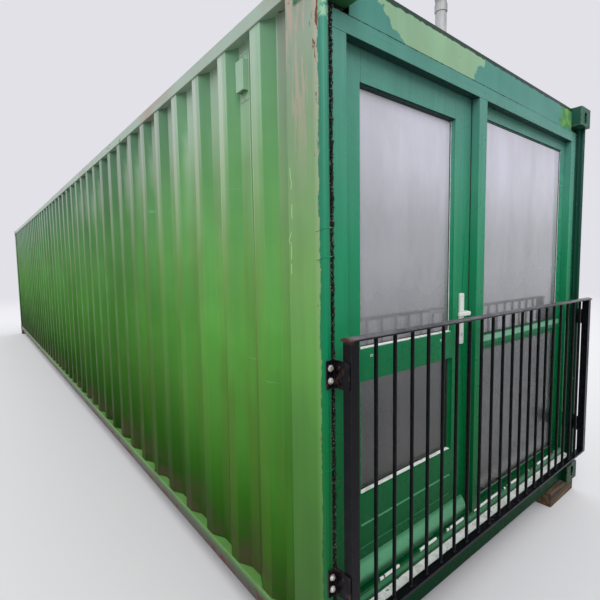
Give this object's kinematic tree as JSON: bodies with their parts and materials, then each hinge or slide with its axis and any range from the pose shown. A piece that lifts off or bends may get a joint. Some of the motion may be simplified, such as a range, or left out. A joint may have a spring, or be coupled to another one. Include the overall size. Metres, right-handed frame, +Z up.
{
  "type": "container house",
  "caption": "Steel shipping container turned into a small house: corrugated walls, a glazed end screen with a hinged door, and a barred safety railing across it.",
  "frame": {"origin": "middle of the whole footprint, on the ground under the timber blocks", "axes": "+Z up; +Y along the container from the glazed end to the closed end; +X to the right of someone who faces the glazed end"},
  "size_m": [2.438, 12.257, 3.3954],
  "materials": {
    "casting_paint": "painted cast steel, worn to rust at the holes and edges",
    "front_paint": "brushed emerald gloss over older pale green, peeled in patches",
    "shell_paint": "leaf green gloss, chalky near the top, rust at the edges",
    "roof_paint": "weathered green with dust and rust spots",
    "underframe_paint": "dirty black bitumen paint",
    "floor_ply": "worn brown container plywood",
    "timber": "weathered sleeper wood",
    "screen_paint": "emerald green paint on plastic frame",
    "white_plastic": "white plastic with green paint specks",
    "glass": "clear double glazing with dust",
    "handle_white": "white coated handle",
    "hinge_steel": "white coated steel",
    "sealant": "rough black bitumen sealant",
    "black_paint": "gloss black",
    "vent_plastic": "faded green paint",
    "pipe_plastic": "grey plastic"
  },
  "bodies": {
    "root": {"bottom_rail_left": "shell_paint", "bottom_rail_right": "shell_paint", "casting_bottom_front_left": "casting_paint", "casting_bottom_front_right": "casting_paint", "casting_bottom_rear_left": "casting_paint", "casting_bottom_rear_right": "casting_paint", "casting_top_front_left": "casting_paint", "casting_top_front_right": "casting_paint", "casting_top_rear_left": "casting_paint", "casting_top_rear_right": "casting_paint", "corner_post_front_left": "front_paint", "corner_post_front_right": "front_paint", "corner_post_rear_left": "shell_paint", "corner_post_rear_right": "shell_paint", "cross_members": "underframe_paint", "fixed_light_frame": "screen_paint", "fixed_light_glass": "glass", "floor": "floor_ply", "frame_bottom_rail": "screen_paint", "frame_head": "screen_paint", "frame_jamb_left": "screen_paint", "frame_jamb_right": "screen_paint", "frame_mullion": "screen_paint", "front_header": "front_paint", "front_railing": "black_paint", "front_sill": "front_paint", "hinge_pins": "hinge_steel", "perimeter_sealant": "sealant", "railing_bracket_left": "black_paint", "railing_bracket_right": "black_paint", "rear_header": "shell_paint", "rear_sill": "shell_paint", "rear_wall": "shell_paint", "roof_panel": "roof_paint", "roof_pipe": "pipe_plastic", "side_vent_left": "vent_plastic", "side_vent_right": "vent_plastic", "side_wall_left": "shell_paint", "side_wall_right": "shell_paint", "timber_block_front_left": "timber", "timber_block_front_right": "timber", "timber_block_rear_left": "timber", "timber_block_rear_right": "timber", "top_rail_left": "shell_paint", "top_rail_right": "shell_paint", "window_cill": "white_plastic"},
    "door": {"door_leaf": "screen_paint", "door_glass": "glass", "weather_board": "screen_paint", "handle_plate": "handle_white", "hinge_knuckles": "hinge_steel"},
    "lever": {"door_lever": "handle_white"}
  },
  "joints": [
    {"name": "door_hinge", "type": "hinge", "parent": "root", "child": "door", "pos_m": [-1.086, -5.8885, 1.425], "axis": [0, 0, 1], "range_deg": [0, 90]},
    {"name": "lever_turn", "type": "hinge", "parent": "door", "child": "lever", "pos_m": [-0.214, -5.9585, 1.415], "axis": [0, -1, 0], "range_deg": [0, 40], "stiffness_Nm_per_rad": 1.2, "springref_deg": -28.65}
  ]
}
